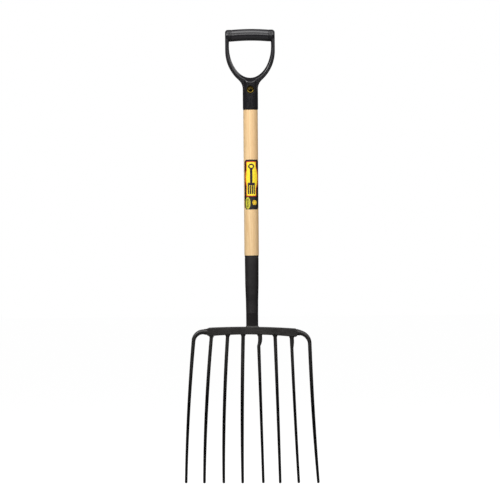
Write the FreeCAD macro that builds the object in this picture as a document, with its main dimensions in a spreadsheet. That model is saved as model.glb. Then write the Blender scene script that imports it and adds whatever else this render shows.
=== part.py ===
import FreeCAD, Part
import math
import os

import Sketcher

# A long-handled garden fork: eight round tines on an arched crossbar, a steel ferrule,
# an ash handle with a label, and a moulded D-shaped grip held on by one screw.
# Frame: the origin is on the handle's axis at the ferrule's mouth, +Z runs up the handle
# to the grip, +X to the right, and the tines dish forward, towards -Y. Millimetres.

Vector = FreeCAD.Vector
UP = Vector(0, 0, 1)
DEPTH = Vector(0, 1, 0)
ALMOST_HALF = 1.0001  # radius over half chord, for an arc just short of a half circle

# ---------------------------------------------------------------- driving dimensions

DIMENSIONS = [
    # alias, value, what it is
    ("shaft_diameter", 38.1, "ash handle, one and a half inches"),
    ("shaft_exposed", 383.6, "bare wood between ferrule and grip"),
    ("foot_tenon_length", 145.0, "wood inside the ferrule"),
    ("foot_tenon_diameter", 28.0, "lower end of that taper"),
    ("head_tenon_length", 66.0, "wood inside the grip socket"),
    ("head_tenon_diameter", 29.0, "upper end of that taper"),
    ("head_mouth_diameter", 32.4, "tenon where it enters the socket"),
    ("ferrule_length", 187.9, "mouth to crossbar"),
    ("ferrule_wall", 1.8, "steel thickness at the mouth"),
    ("ferrule_mouth_diameter", 36.5, "outside at the mouth"),
    ("ferrule_shoulder_diameter", 35.4, "outside where the taper starts"),
    ("ferrule_neck_diameter", 32.6, "outside where the taper ends"),
    ("ferrule_foot_diameter", 31.8, "outside at the crossbar"),
    ("ferrule_shoulder_drop", 76.0, "mouth to taper start"),
    ("ferrule_neck_drop", 122.0, "mouth to taper end"),
    ("ferrule_flat_drop", 152.0, "mouth to where the foot begins to flatten"),
    ("ferrule_foot_depth", 10.4, "front to back at the crossbar"),
    ("bead_drop", 5.6, "mouth to the rolled groove"),
    ("bead_diameter", 1.6, "its cross-section"),
    ("bead_proud", 0.3, "ferrule's surface to the middle of that section"),
    ("foot_gap", 1.0, "below the wood inside the ferrule"),
    ("rivet_diameter", 4.8, "rivet through the ferrule's back"),
    ("rivet_head_diameter", 9.0, ""),
    ("rivet_length", 24.0, ""),
    ("rivet_drop", 30.0, "mouth to rivet"),
    ("rivet_head_height", 0.7, ""),
    ("rivet_head_radius", 18.0, "its low dome"),
    ("rivet_seat", 0.1, "under the head"),
    ("rivet_point", 1.0, "taper at its end"),
    ("bar_half_length", 113.5, "centre to the end of the full section"),
    ("bar_height", 20.5, "at the middle"),
    ("bar_top_sag", 3.4, "fall of the top edge at the ends"),
    ("bar_under_sag", 5.6, "fall of the underside at the ends"),
    ("bar_thickness", 16.0, "front to back"),
    ("bar_edge_radius", 2.2, ""),
    ("bar_nose_length", 5.5, "tapered end beyond the full section"),
    ("bar_nose_drop", 2.6, "taper at top and bottom"),
    ("bar_tilt", 0.97, "degrees the bar hangs off square, right end low"),
    ("dish_radius", 1265.0, "forward curve of the tines"),
    ("tip_drop", 597.6, "ferrule mouth to tine tips"),
    ("tip_tilt", 0.47, "degrees the row of tips hangs off square"),
    ("tip_diameter", 6.9, ""),
    ("tip_round", 2.9, "blunted point"),
    ("spigot_diameter", 8.0, "tine tenon in the crossbar"),
    ("spigot_length", 12.0, "inner tines"),
    ("outer_spigot_length", 5.5, "outer tines, clear of their neighbours' spigots"),
    ("stub_diameter", 10.8, "forged stub of a stepped tine"),
    ("step_blend", 13.0, "length over which a stepped tine jogs sideways"),
    ("outer_shank_diameter", 13.4, "outer tines at the bar's ends"),
    ("root_weld_diameter", 14.4, "weld collar on the bar"),
    ("root_weld_height", 3.8, ""),
    ("outer_weld_diameter", 17.0, "the outer tines' longer collar"),
    ("outer_weld_height", 8.0, ""),
    ("root_weld_lip", 0.5, "its thickness at the thin end"),
    ("inner_weld_sink", 0.5, "weld collar let into the bar's underside"),
    ("outer_weld_sink", 2.2, "weld collar let into the bar's end"),
    ("foot_weld_leg", 2.4, "weld round the ferrule's foot"),
    ("foot_weld_lip", 0.3, "its thickness at the top"),
    ("foot_weld_sink", 0.8, "its base below the ferrule's end"),
    ("socket_diameter", 40.3, "grip socket outside"),
    ("socket_mouth_round", 3.2, ""),
    ("socket_relief", 2.0, "taper above the wood's end"),
    ("plate_overlap", 20.0, "arm plate's reach down into the socket"),
    ("arm_depth", 24.0, "front to back"),
    ("arm_half_width", 65.5, "grip half width"),
    ("arm_straight_rise", 156.0, "socket mouth to the straight sides"),
    ("neck_rise", 56.4, "socket mouth to where the neck opens"),
    ("neck_flare_x", 31.2, "neck to arm changeover, half width"),
    ("neck_flare_rise", 79.8, "neck to arm changeover, height"),
    ("neck_radius", 33.0, ""),
    ("arm_radius", 101.8, ""),
    ("arm_edge_round", 2.2, "outer edges of the arms"),
    ("throat_land", 5.0, "middle of the opening's rim, left square"),
    ("throat_fall", 12.5, "slope below the opening, down to the socket's front"),
    ("throat_spread", 5.0, "the same slope's reach to the sides"),
    ("crest_round", 3.0, "rounded edge at the top of the slope"),
    ("opening_half_width", 55.5, "hand opening"),
    ("opening_half_height", 84.0, ""),
    ("opening_rise", 168.9, "socket mouth to the opening's centre"),
    ("bar_axis_rise", 198.3, "socket mouth to the top of the hand grip's bowed axis"),
    ("hand_grip_diameter", 31.6, ""),
    ("hand_grip_length", 97.0, ""),
    ("hand_grip_bow", 2.2, "rise of the middle over the ends"),
    ("hand_grip_wall", 3.4, ""),
    ("hand_grip_overrun", 3.0, "bowed past its ends, then cut square"),
    ("flute_width", 3.2, "lengthwise groove in the upper half"),
    ("flute_angle", 13.0, "degrees above the split"),
    ("seam_bevel", 0.9, "knuckle's edge beside the hand grip"),
    ("core_diameter", 19.0, "bar inside the hand grip"),
    ("core_length", 111.0, "into both knuckles"),
    ("knuckle_round", 7.5, "outer corner of the grip"),
    ("slot_x", 55.0, "clip slots in the knuckles"),
    ("slot_width", 5.0, ""),
    ("slot_height", 2.2, ""),
    ("slot_depth", 3.4, "from the knuckle's front"),
    ("upper_slot_rise", 6.2, "above the hand grip's axis"),
    ("lower_slot_fall", 1.6, "below the hand grip's axis"),
    ("cell_count", 9, "ladder cells on each arm"),
    ("cell_start", -41.5, "degrees round the arm's arc to the lowest cell"),
    ("cell_pitch", 2.95, "degrees"),
    ("cell_span", 2.1, "degrees"),
    ("cell_inset", 4.3, "arm's outer edge to the cells' middle"),
    ("cell_width", 3.6, ""),
    ("cell_depth", 2.6, ""),
    ("recess_diameter", 23.0, "spotface for the washer"),
    ("recess_floor", 16.2, "handle axis to spotface"),
    ("screw_rise", 53.4, "socket mouth to screw"),
    ("screw_diameter", 5.5, ""),
    ("screw_length", 30.0, ""),
    ("screw_head_diameter", 10.4, ""),
    ("screw_head_height", 3.0, ""),
    ("screw_head_rim", 0.8, "straight side of the head"),
    ("screw_head_radius", 6.45, "its dome"),
    ("screw_head_flat", 1.0, "half width of the flat on the dome"),
    ("screw_point", 5.0, "taper at its end"),
    ("cross_width", 1.3, "cross recess"),
    ("cross_length", 6.0, ""),
    ("cross_turn", 35.0, "degrees"),
    ("washer_diameter", 19.4, ""),
    ("washer_thickness", 1.2, ""),
    ("washer_lip", 0.5, "thickness at the rim"),
    ("washer_well", 0.3, "dished middle, in front of the flat thickness"),
    ("washer_crest", 0.8, "ring round it, in front of the flat thickness"),
    ("washer_crest_inset", 1.4, "rim to the ring"),
    ("washer_well_inset", 3.0, "rim to the dished middle"),
    ("washer_back_inset", 2.2, "rim to the flat back"),
    ("clearance", 0.15, "between parts that slide together"),
    ("snug", 0.05, "between a driven fastener and its hole"),
    ("overshoot", 1.0, "how far cutters reach past a surface"),
    ("label_thickness", 0.11, ""),
    ("label_low", 121.1, "ferrule mouth to label"),
    ("label_height", 131.4, ""),
    ("label_half_angle", 70.0, "degrees each side of its middle"),
    ("label_turn", 7.8, "degrees from the front to its middle"),
    ("label_corner", 5.0, ""),
]

# Each tine: where its root sits along the bar, how far it splays outward, how far its
# dish is turned sideways, its diameter below the root and half way down, and the forging
# step at its root, if any: how far sideways, and how far down the rod begins.
TINES = [
    # node name, root x, splay, lean, top, waist, step sideways, step down
    ("left_outer_tine", -155.1, 5.4, 13.9, 10.2, 8.2, 0.0, 0.0),
    ("left_second_tine", -107.7, 5.5, 15.4, 9.3, 8.8, 0.0, 0.0),
    ("left_third_tine", -64.9, 4.1, 14.0, 9.6, 8.7, 0.0, 0.0),
    ("left_inner_tine", -24.1, 1.7, 6.8, 9.9, 9.0, 0.0, 0.0),
    ("right_inner_tine", 19.7, -1.6, -1.0, 9.0, 7.5, -3.8, 30.0),
    ("right_third_tine", 60.0, -1.8, -1.9, 9.6, 8.0, 0.0, 0.0),
    ("right_second_tine", 103.8, -2.1, 2.3, 8.5, 7.6, -0.9, 30.0),
    ("right_outer_tine", 151.2, -1.8, 8.3, 9.9, 8.9, 0.0, 0.0),
]

# The two outer tines leave the bar's ends sideways and bend down.
OUTER_BENDS = {
    # node name: bend radius, degrees the rod falls as it leaves the bar, drop of the
    # bend's lower end, length of the straight shank at the bar
    "left_outer_tine": (26.0, 0.0, 223.9, 11.5),
    "right_outer_tine": (30.0, 11.0, 233.5, 9.9),
}

document = FreeCAD.newDocument("garden_fork")
sheet = document.addObject("Spreadsheet::Sheet", "dims")


written = []


def write_dimension(alias, value, note=""):
    """Add one row to the sheet: its name, a plain number and a note."""
    written.append(alias)
    row = len(written)
    sheet.set(f"A{row}", alias)
    sheet.set(f"B{row}", str(value))
    sheet.set(f"C{row}", note)
    sheet.setAlias(f"B{row}", alias)


def fill_sheet():
    """Write every dimension, then the angle each tine's arc turns through."""
    for alias, value, note in DIMENSIONS:
        write_dimension(alias, value, note)
    for name, (radius, fall, drop, shank) in OUTER_BENDS.items():
        write_dimension(f"{name}_bend_radius", radius)
        write_dimension(f"{name}_bend_fall", fall)
        write_dimension(f"{name}_root_drop", drop)
        write_dimension(f"{name}_shank", shank)
    document.recompute()
    for name, root_x, splay, lean, top, waist, step_side, step_down in TINES:
        write_dimension(f"{name}_root_x", root_x)
        write_dimension(f"{name}_splay", splay)
        write_dimension(f"{name}_lean", lean)
        write_dimension(f"{name}_top", top)
        write_dimension(f"{name}_waist", waist)
        write_dimension(f"{name}_step_side", step_side)
        write_dimension(f"{name}_step_down", step_down)
        if name not in OUTER_BENDS:
            write_dimension(f"{name}_root_drop", round(underside_drop(root_x), 2))
        document.recompute()
        tip_drop = size("tip_drop") + root_x * math.tan(math.radians(size("tip_tilt")))
        fall = tip_drop - size(f"{name}_root_drop") - step_down
        write_dimension(f"{name}_turn", round(dish_turn(fall, splay, lean), 3))
    document.recompute()


def dish_turn(fall, splay, lean):
    """Degrees a tine's arc turns through to fall this far, splayed and leaning sideways."""
    radius = size("dish_radius")
    splay = math.radians(splay)
    turn = math.asin(fall / math.cos(splay) / radius)
    sideways = math.sin(math.radians(lean)) * radius * (1 - math.cos(turn))
    turn = math.asin((fall - sideways * math.sin(splay)) / math.cos(splay) / radius)
    return math.degrees(turn)


def size(alias):
    """A driving dimension as a plain number."""
    return float(sheet.get(alias))


def value_of(formula):
    """The present value of a formula on the sheet's cells."""
    result = sheet.evalExpression(str(formula))
    return float(getattr(result, "Value", result))


# ---------------------------------------------------------------- drawing helpers


def new_body(name):
    body = document.addObject("PartDesign::Body", name)
    body.Label = name
    return body


def origin_plane(body, role):
    return next(item for item in body.Origin.OriginFeatures if item.Role == role)


def new_sketch(body, name, role, shift=("0", "0", "0"), axis=None, angle="0"):
    """A sketch on one of the body's own planes, moved and turned by formulas."""
    sketch = body.newObject("Sketcher::SketchObject", name)
    sketch.AttachmentSupport = [(origin_plane(body, role), "")]
    sketch.MapMode = "FlatFace"
    for letter, formula in zip("xyz", shift):
        if formula != "0":
            sketch.setExpression(f".AttachmentOffset.Base.{letter}", formula)
    if axis is not None:
        for letter, formula in zip("xyz", axis):
            sketch.setExpression(f".AttachmentOffset.Rotation.Axis.{letter}", formula)
        sketch.setExpression(".AttachmentOffset.Rotation.Angle", f"({angle}) * 1 deg")
    return sketch


def bind_last(sketch, formula):
    """Tie the constraint that was added last to a formula."""
    sketch.setExpression(f"Constraints[{sketch.ConstraintCount - 1}]", formula)


def pin_point(sketch, geometry, vertex, x, y):
    """Hold one vertex at a place given by two formulas."""
    for kind, formula in (("DistanceX", x), ("DistanceY", y)):
        value = value_of(formula)
        if abs(value) < 1e-9:
            axis = -2 if kind == "DistanceX" else -1
            sketch.addConstraint(Sketcher.Constraint("PointOnObject", geometry, vertex, axis))
        elif value > 0:
            sketch.addConstraint(Sketcher.Constraint(kind, -1, 1, geometry, vertex, value))
            bind_last(sketch, formula)
        else:
            sketch.addConstraint(Sketcher.Constraint(kind, geometry, vertex, -1, 1, -value))
            bind_last(sketch, f"-({formula})")


def add_circle(sketch, diameter, x="0", y="0"):
    place = Vector(value_of(x), value_of(y), 0)
    circle = sketch.addGeometry(Part.Circle(place, UP, value_of(diameter) / 2), False)
    pin_point(sketch, circle, 3, x, y)
    sketch.addConstraint(Sketcher.Constraint("Diameter", circle, value_of(diameter)))
    bind_last(sketch, diameter)
    return circle


def arc_between(start, end, radius):
    """The arc from start to end; a positive radius bulges to the right of the way travelled."""
    chord = end - start
    half = chord.Length / 2
    side = Vector(chord.y, -chord.x, 0).normalize()
    sagitta = abs(radius) - math.sqrt(radius * radius - half * half)
    middle = start + chord * 0.5 + side * math.copysign(sagitta, radius)
    return Part.ArcOfCircle(start, middle, end)


def add_outline(sketch, corners):
    """A closed outline. A corner is (x, y) or (x, y, radius of the arc to the next corner)."""
    places = [Vector(value_of(corner[0]), value_of(corner[1]), 0) for corner in corners]
    for index, corner in enumerate(corners):
        following = corners[(index + 1) % len(corners)]
        start = places[index]
        end = places[(index + 1) % len(places)]
        radius = value_of(corner[2]) if len(corner) == 3 else None
        edge = arc_between(start, end, radius) if radius else Part.LineSegment(start, end)
        line = sketch.addGeometry(edge, False)
        first, last = 1, 2
        if (sketch.getPoint(line, 1) - start).Length > (sketch.getPoint(line, 2) - start).Length:
            first, last = 2, 1
        pin_point(sketch, line, first, corner[0], corner[1])
        pin_point(sketch, line, last, following[0], following[1])
        if radius:
            sketch.addConstraint(Sketcher.Constraint("Radius", line, abs(radius)))
            bind_last(sketch, f"abs({corner[2]})")


def pad(body, name, sketch, length, both_ways=False):
    feature = body.newObject("PartDesign::Pad", name)
    feature.Profile = sketch
    feature.setExpression("Length", length)
    if both_ways:
        feature.Midplane = True
    return feature


def pocket(body, name, sketch, length=None, both_ways=False, flip=False):
    """A pocket that must take something away."""
    document.recompute()
    before = body.Shape.Volume
    feature = body.newObject("PartDesign::Pocket", name)
    feature.Profile = sketch
    if length is None:
        feature.Type = "ThroughAll"
    else:
        feature.setExpression("Length", length)
    feature.Midplane = both_ways
    feature.Reversed = flip
    document.recompute()
    if not body.Shape.Volume < before - 1e-3:
        raise RuntimeError(f"{name} cuts nothing")
    return feature


def revolve(body, name, sketch, axis_role, kind="PartDesign::Revolution", angle=None):
    feature = body.newObject(kind, name)
    feature.Profile = sketch
    feature.ReferenceAxis = (origin_plane(body, axis_role), [""])
    if angle is not None:
        feature.setExpression("Angle", angle)
        feature.Midplane = True
    return feature


def round_edges(body, name, base, chosen, radius, kind="PartDesign::Fillet"):
    """Fillet or chamfer the edges of a feature that the test picks."""
    document.recompute()
    names = [f"Edge{i + 1}" for i, edge in enumerate(base.Shape.Edges) if chosen(edge)]
    if not names:
        raise RuntimeError(f"{name} finds no edge")
    feature = body.newObject(kind, name)
    feature.Base = (base, names)
    feature.setExpression("Radius" if kind == "PartDesign::Fillet" else "Size", radius)
    return feature


def place(item, x="0", y="0", z="0", rotation=None):
    if rotation is not None:
        item.Placement = FreeCAD.Placement(Vector(), rotation)
    for letter, formula in zip("xyz", (x, y, z)):
        if formula != "0":
            item.setExpression(f".Placement.Base.{letter}", formula)


# ---------------------------------------------------------------- handle


def make_handle_shaft():
    """One turned ash stick: a long taper for the ferrule, a short one for the grip."""
    body = new_body("handle_shaft")
    profile = new_sketch(body, "shaft_profile", "XZ_Plane")
    mouth = "dims.ferrule_mouth_diameter / 2 - dims.ferrule_wall"
    add_outline(
        profile,
        [
            ("0", "-dims.foot_tenon_length"),
            ("dims.foot_tenon_diameter / 2", "-dims.foot_tenon_length"),
            (mouth, "0"),
            ("dims.shaft_diameter / 2", "0"),
            ("dims.shaft_diameter / 2", "dims.shaft_exposed"),
            ("dims.head_mouth_diameter / 2", "dims.shaft_exposed"),
            ("dims.head_tenon_diameter / 2", "dims.shaft_exposed + dims.head_tenon_length"),
            ("0", "dims.shaft_exposed + dims.head_tenon_length"),
        ],
    )
    revolve(body, "turned_shaft", profile, "Z_Axis")
    screw_hole = new_sketch(body, "screw_hole_circle", "XZ_Plane", ("0", "0", "dims.shaft_diameter"))
    add_circle(screw_hole, "dims.screw_diameter", y="dims.shaft_exposed + dims.screw_rise")
    hole_depth = "dims.shaft_diameter - dims.recess_floor + dims.screw_length"
    pocket(body, "screw_hole", screw_hole, hole_depth)
    rivet_hole = new_sketch(body, "rivet_hole_circle", "XZ_Plane", ("0", "0", "-dims.shaft_diameter"))
    add_circle(rivet_hole, "dims.rivet_diameter", y="-dims.rivet_drop")
    rivet_depth = "dims.shaft_diameter - dims.ferrule_mouth_diameter / 2 + dims.rivet_length"
    pocket(body, "rivet_hole", rivet_hole, rivet_depth, flip=True)
    return body


def make_label():
    """A thin printed sheet wrapped part of the way round the wood."""
    body = new_body("label")
    profile = new_sketch(body, "label_profile", "XZ_Plane")
    inside = "dims.shaft_diameter / 2"
    outside = "dims.shaft_diameter / 2 + dims.label_thickness"
    add_outline(
        profile,
        [
            (inside, "dims.label_low"),
            (outside, "dims.label_low"),
            (outside, "dims.label_low + dims.label_height"),
            (inside, "dims.label_low + dims.label_height"),
        ],
    )
    revolve(body, "label_wrap", profile, "Z_Axis", angle="2 * dims.label_half_angle")
    for side, word in ((-1, "left"), (1, "right")):
        round_label_corners(body, word, side)
    place(body, rotation=FreeCAD.Rotation(UP, size("label_turn") - 90))
    return body


def round_label_corners(body, word, side):
    """Trim the two corners at one upright edge of the label, cutting straight in from outside."""
    angle = f"(90 + {side} * dims.label_half_angle)"
    reach = "(dims.shaft_diameter / 2 + dims.overshoot)"
    shift = (f"{reach} * sin({angle} * 1 deg)", "0", f"{reach} * cos({angle} * 1 deg)")
    low = "dims.label_low"
    high = "(dims.label_low + dims.label_height)"
    inward = f"{-side} * dims.label_corner"
    beyond = f"{side} * dims.overshoot"
    for end, level, step in (("low", low, 1), ("high", high, -1)):
        corner = new_sketch(body, f"{word}_{end}_corner", "XZ_Plane", shift, ("0", "1", "0"), angle)
        add_outline(
            corner,
            [
                (inward, level, f"{-side * step} * dims.label_corner"),
                ("0", f"{level} + {step} * dims.label_corner"),
                (beyond, f"{level} + {step} * dims.label_corner"),
                (beyond, f"{level} - {step} * dims.overshoot"),
                (inward, f"{level} - {step} * dims.overshoot"),
            ],
        )
        pocket(body, f"{word}_{end}_trim", corner, "3 * dims.overshoot")


# ---------------------------------------------------------------- ferrule


def make_ferrule(crossbar):
    """A tapered steel socket, flattened at its foot to the crossbar's thickness."""
    body = new_body("ferrule_blank")
    profile = new_sketch(body, "ferrule_outside", "XZ_Plane")
    add_outline(
        profile,
        [
            ("0", "-dims.ferrule_flat_drop"),
            ("dims.ferrule_foot_diameter / 2", "-dims.ferrule_flat_drop"),
            ("dims.ferrule_neck_diameter / 2", "-dims.ferrule_neck_drop"),
            ("dims.ferrule_shoulder_diameter / 2", "-dims.ferrule_shoulder_drop"),
            ("dims.ferrule_mouth_diameter / 2", "-dims.bead_drop"),
            ("dims.ferrule_mouth_diameter / 2", "0"),
            ("0", "0"),
        ],
    )
    revolve(body, "tapered_outside", profile, "Z_Axis")
    top_circle = new_sketch(body, "foot_top", "XY_Plane", ("0", "0", "-dims.ferrule_flat_drop"))
    add_circle(top_circle, "dims.ferrule_foot_diameter")
    foot = new_sketch(body, "foot_oval", "XY_Plane", ("0", "0", "-dims.ferrule_length"))
    add_ellipse(foot, "dims.ferrule_foot_diameter / 2", "dims.ferrule_foot_depth / 2")
    loft = body.newObject("PartDesign::AdditiveLoft", "flattened_foot")
    loft.Profile = top_circle
    loft.Sections = [(foot, [""])]
    document.recompute()
    bore = new_sketch(body, "bore_profile", "XZ_Plane")
    add_outline(
        bore,
        [
            ("0", "-dims.foot_tenon_length - dims.foot_gap"),
            ("dims.foot_tenon_diameter / 2", "-dims.foot_tenon_length - dims.foot_gap"),
            ("dims.foot_tenon_diameter / 2", "-dims.foot_tenon_length"),
            ("dims.ferrule_mouth_diameter / 2 - dims.ferrule_wall", "0"),
            ("0", "0"),
        ],
    )
    revolve(body, "tapered_bore", bore, "Z_Axis", "PartDesign::Groove")
    bead = new_sketch(body, "rolled_groove_circle", "XZ_Plane")
    bead_reach = "dims.ferrule_mouth_diameter / 2 + dims.bead_proud"
    add_circle(bead, "dims.bead_diameter", bead_reach, "-dims.bead_drop")
    revolve(body, "rolled_groove", bead, "Z_Axis", "PartDesign::Groove")
    hole = new_sketch(body, "rivet_hole_circle", "XZ_Plane", ("0", "0", "-dims.shaft_diameter"))
    add_circle(hole, "dims.rivet_diameter", y="-dims.rivet_drop")
    pocket(body, "rivet_hole", hole, "dims.shaft_diameter", flip=True)
    return trimmed("ferrule", body, crossbar)


def add_ellipse(sketch, half_width, half_height, x="0", y="0"):
    """An ellipse whose two half sizes and centre follow formulas."""
    wide, high = value_of(half_width), value_of(half_height)
    centre = Vector(value_of(x), value_of(y), 0)
    if wide >= high:
        ends = (centre + Vector(wide, 0, 0), centre + Vector(0, high, 0))
    else:
        ends = (centre + Vector(0, high, 0), centre - Vector(wide, 0, 0))
    oval = sketch.addGeometry(Part.Ellipse(ends[0], ends[1], centre), False)
    sketch.exposeInternalGeometry(oval)
    major, minor = oval + 1, oval + 2
    pin_point(sketch, oval, 3, x, y)
    direction = "Horizontal" if wide >= high else "Vertical"
    sketch.addConstraint(Sketcher.Constraint(direction, major))
    long_size, short_size = (half_width, half_height) if wide >= high else (half_height, half_width)
    for line, formula in ((major, long_size), (minor, short_size)):
        sketch.addConstraint(Sketcher.Constraint("Distance", line, 2 * value_of(formula)))
        bind_last(sketch, f"2 * ({formula})")
    return oval


def make_ferrule_rivet():
    """A domed rivet driven in from the back."""
    body = new_body("ferrule_rivet")
    profile = new_sketch(body, "rivet_profile", "XY_Plane")
    seat = "dims.ferrule_mouth_diameter / 2 + dims.rivet_seat"
    shank = "-dims.rivet_diameter / 2 + dims.snug"
    end = f"{seat} - dims.rivet_length + dims.rivet_point"
    add_outline(
        profile,
        [
            ("0", f"{seat} + dims.rivet_head_height", "dims.rivet_head_radius"),
            ("-dims.rivet_head_diameter / 2", seat),
            (shank, seat),
            (shank, f"{end} + dims.rivet_point"),
            ("0", end),
        ],
    )
    revolve(body, "turned_rivet", profile, "Y_Axis")
    place(body, z="-dims.rivet_drop")
    return body


# ---------------------------------------------------------------- fork head


def underside_drop(x):
    """How far below the ferrule's mouth the crossbar's underside is at x."""
    droop = size("bar_under_sag") * (x / size("bar_half_length")) ** 2
    tilt = x * math.tan(math.radians(size("bar_tilt")))
    return size("ferrule_length") + size("bar_height") + droop + tilt


def make_bar_blank():
    """The arched bar with tapered ends, before the tines' holes."""
    body = new_body("bar_blank")
    face = new_sketch(body, "bar_face", "XZ_Plane")
    half = "dims.bar_half_length"
    top = "-dims.bar_top_sag"
    under = "-dims.bar_height - dims.bar_under_sag"
    nose = "dims.bar_half_length + dims.bar_nose_length"
    top_radius = "(dims.bar_half_length ^ 2 + dims.bar_top_sag ^ 2) / (2 * dims.bar_top_sag)"
    under_radius = "(dims.bar_half_length ^ 2 + dims.bar_under_sag ^ 2) / (2 * dims.bar_under_sag)"
    add_outline(
        face,
        [
            (f"-({half})", under, f"-1 * {under_radius}"),
            (half, under),
            (nose, f"{under} + dims.bar_nose_drop"),
            (nose, f"{top} - dims.bar_nose_drop"),
            (half, top, top_radius),
            (f"-({half})", top),
            (f"-({nose})", f"{top} - dims.bar_nose_drop"),
            (f"-({nose})", f"{under} + dims.bar_nose_drop"),
        ],
    )
    slab = pad(body, "bar_slab", face, "dims.bar_thickness", both_ways=True)

    def long_edge(edge):
        return edge.Length > size("bar_half_length")

    round_edges(body, "bar_long_edges", slab, long_edge, "dims.bar_edge_radius")
    place(body, z="-dims.ferrule_length", rotation=FreeCAD.Rotation(DEPTH, size("bar_tilt")))
    return body


def along_dish(name, share):
    """Where a tine's cross-section lies, a share of the way down its arc, and how it is turned."""
    turn = f"(dims.{name}_turn * {share})"
    lean = f"dims.{name}_lean * 1 deg"
    reach = f"dims.dish_radius * (1 - cos({turn} * 1 deg))"
    shift = (
        f"dims.{name}_step_side + sin({lean}) * {reach}",
        f"-cos({lean}) * {reach}",
        f"-dims.dish_radius * sin({turn} * 1 deg) - dims.{name}_step_down",
    )
    axis = (f"cos({lean})", f"sin({lean})", "0")
    return shift, axis, f"-{turn}"


def add_arc_spine(sketch, centre_x, radius, start, sweep_formula, end_at_origin):
    """An arc about a point on the sketch's x axis, with one end at the sketch's origin."""
    sweep = math.radians(value_of(sweep_formula))
    circle = Part.Circle(Vector(centre_x, 0, 0), UP, value_of(radius))
    arc = sketch.addGeometry(Part.ArcOfCircle(circle, start, start + sweep), False)
    sketch.addConstraint(Sketcher.Constraint("Coincident", arc, end_at_origin, -1, 1))
    sketch.addConstraint(Sketcher.Constraint("PointOnObject", arc, 3, -1))
    sketch.addConstraint(Sketcher.Constraint("Radius", arc, value_of(radius)))
    bind_last(sketch, radius)
    sketch.addConstraint(Sketcher.Constraint("Angle", arc, sweep))
    bind_last(sketch, f"{sweep_formula} * 1 deg")


def add_pipe(body, name, spine, sections):
    pipe = body.newObject("PartDesign::AdditivePipe", name)
    pipe.Profile = sections[0]
    pipe.Spine = (spine, ["Edge1"])
    pipe.Sections = [(section, [""]) for section in sections[1:]]
    pipe.Transformation = "Multisection"
    document.recompute()
    return pipe


def add_rod(body, name):
    """The tapered round rod, swept down the arc of the dish, with a blunt point."""
    shift = ("0", f"-dims.{name}_step_down", f"dims.{name}_step_side")
    spine = new_sketch(body, "spine", "YZ_Plane", shift, ("0", "1", "0"), f"dims.{name}_lean")
    turn = math.radians(size(f"{name}_turn"))
    add_arc_spine(spine, -size("dish_radius"), "dims.dish_radius", -turn, f"dims.{name}_turn", 2)
    sections = []
    for word, share, diameter in (
        ("top", "0", f"dims.{name}_top"),
        ("waist", "0.5", f"dims.{name}_waist"),
        ("tip", "1", "dims.tip_diameter"),
    ):
        place_formulas, axis, angle = along_dish(name, share)
        section = new_sketch(body, f"{word}_section", "XY_Plane", place_formulas, axis, angle)
        add_circle(section, diameter)
        sections.append(section)
    document.recompute()
    rod = add_pipe(body, "rod", spine, sections)
    lowest = min(vertex.Point.z for vertex in rod.Shape.Vertexes)
    ring = math.pi * size("tip_diameter")

    def point_edge(edge):
        at_tip = all(vertex.Point.z < lowest + size("tip_diameter") for vertex in edge.Vertexes)
        return at_tip and abs(edge.Length - ring) < 0.2 * ring

    round_edges(body, "blunt_point", rod, point_edge, "dims.tip_round")


def place_tine(body, name):
    splay = FreeCAD.Rotation(DEPTH, size(f"{name}_splay"))
    place(body, x=f"dims.{name}_root_x", z=f"-dims.{name}_root_drop", rotation=splay)


def add_stepped_root(body, name):
    """A straight forged stub that jogs sideways into the top of the rod."""
    stub_end = f"-dims.{name}_step_down + dims.step_blend"
    sections = []
    for word, shift, diameter in (
        ("stub_top", ("0", "0", "0"), "dims.stub_diameter"),
        ("stub_end", ("0", "0", stub_end), "dims.stub_diameter"),
        (
            "rod_start",
            (f"dims.{name}_step_side", "0", f"-dims.{name}_step_down"),
            f"dims.{name}_top",
        ),
    ):
        section = new_sketch(body, word, "XY_Plane", shift)
        add_circle(section, diameter)
        sections.append(section)
    root = body.newObject("PartDesign::AdditiveLoft", "stepped_root")
    root.Profile = sections[0]
    root.Sections = [(section, [""]) for section in sections[1:]]
    document.recompute()


def make_inner_tine(name):
    """A tine with a spigot that enters the bar from below.

    A stepped tine has a short forged stub, with the rod set to one side below it.
    """
    body = new_body(name)
    spigot = new_sketch(body, "spigot_circle", "XY_Plane")
    add_circle(spigot, "dims.spigot_diameter")
    pad(body, "spigot", spigot, "dims.spigot_length")
    if size(f"{name}_step_down") > 0:
        add_stepped_root(body, name)
    add_rod(body, name)
    place_tine(body, name)
    return body


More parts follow.
